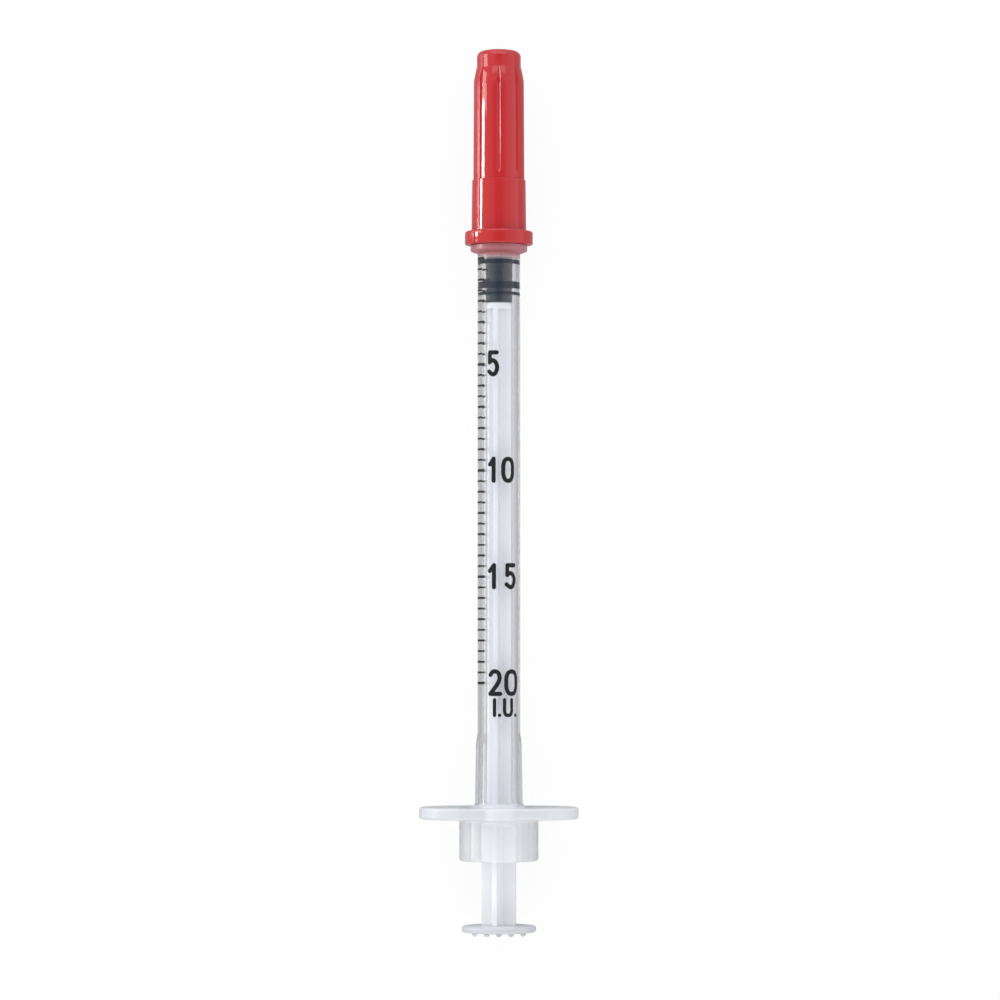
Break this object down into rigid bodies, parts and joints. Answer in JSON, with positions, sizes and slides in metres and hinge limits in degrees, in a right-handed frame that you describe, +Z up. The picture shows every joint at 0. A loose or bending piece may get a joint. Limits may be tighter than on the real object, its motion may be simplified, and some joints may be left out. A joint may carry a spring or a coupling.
{
  "type": "insulin syringe",
  "caption": "Capped insulin syringe with a fixed needle: clear graduated barrel, ribbed plunger, rubber stopper and push-on red needle cap.",
  "frame": {"origin": "where the barrel's axis meets the rear face of the finger flange, which is the root of the rear collar", "axes": "+Y along the barrel's axis towards the needle, +X along the finger flange's wings, +Z up from the side that the syringe lies on"},
  "size_m": [0.0198, 0.1107, 0.0108],
  "materials": {
    "clear_plastic": "clear polished polypropylene",
    "needle_steel": "polished stainless steel",
    "glue": "cured clear adhesive",
    "red_plastic": "glossy opaque moulding",
    "dark_rubber": "smooth siliconised rubber",
    "white_plastic": "satin translucent moulding"
  },
  "bodies": {
    "barrel": {"barrel": "clear_plastic", "needle": "needle_steel", "needle_adhesive": "glue"},
    "cap": {"needle_cap": "red_plastic"},
    "stopper": {"stopper": "dark_rubber"},
    "rod": {"plunger_rod": "white_plastic"}
  },
  "joints": [
    {"name": "cap_pull", "type": "slide", "parent": "barrel", "child": "cap", "axis": [0, 1, 0], "range_m": [0, 0.04]},
    {"name": "plunger_slide", "type": "slide", "parent": "barrel", "child": "stopper", "axis": [0, -1, 0], "range_m": [0, 0.057]},
    {"name": "rod_twist", "type": "hinge", "parent": "stopper", "child": "rod", "pos_m": [0, 0, 0], "axis": [0, 1, 0], "continuous": true}
  ]
}
